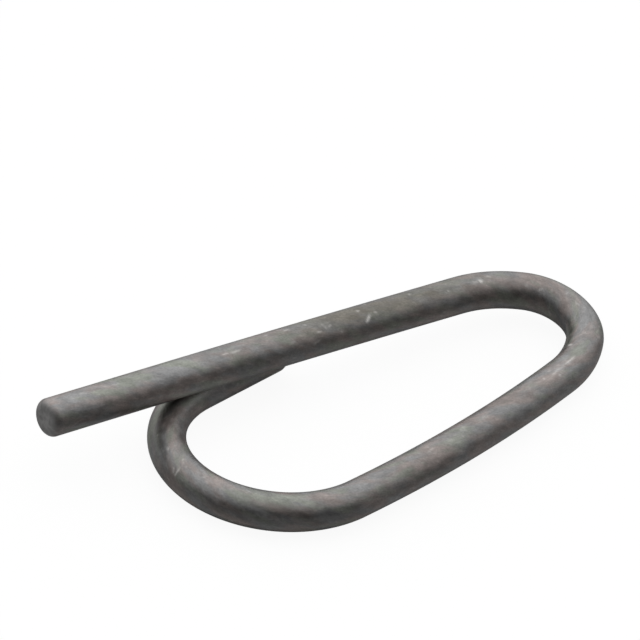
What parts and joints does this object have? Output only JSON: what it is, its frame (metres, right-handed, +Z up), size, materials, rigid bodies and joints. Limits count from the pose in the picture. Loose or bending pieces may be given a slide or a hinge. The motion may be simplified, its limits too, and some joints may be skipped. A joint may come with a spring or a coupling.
{
  "type": "hitch pin safety clip, closed loop",
  "caption": "Spring wire safety clip: a straight leg, a tight nose, a bowed outer leg and a hook that latches under the leg.",
  "frame": {"origin": "middle of the box round the lying clip, on the surface it lies on", "axes": "+X along the straight leg seen from above, from its free end to the nose; +Y from the outer leg to the straight leg; +Z up from the surface"},
  "size_m": [0.0822, 0.0356, 0.0113],
  "materials": {
    "spring_wire": "dark grey oil tempered spring wire, uncoated, satin, with fine draw lines"
  },
  "bodies": {
    "root": {"spring_clip": "spring_wire"}
  },
  "joints": []
}
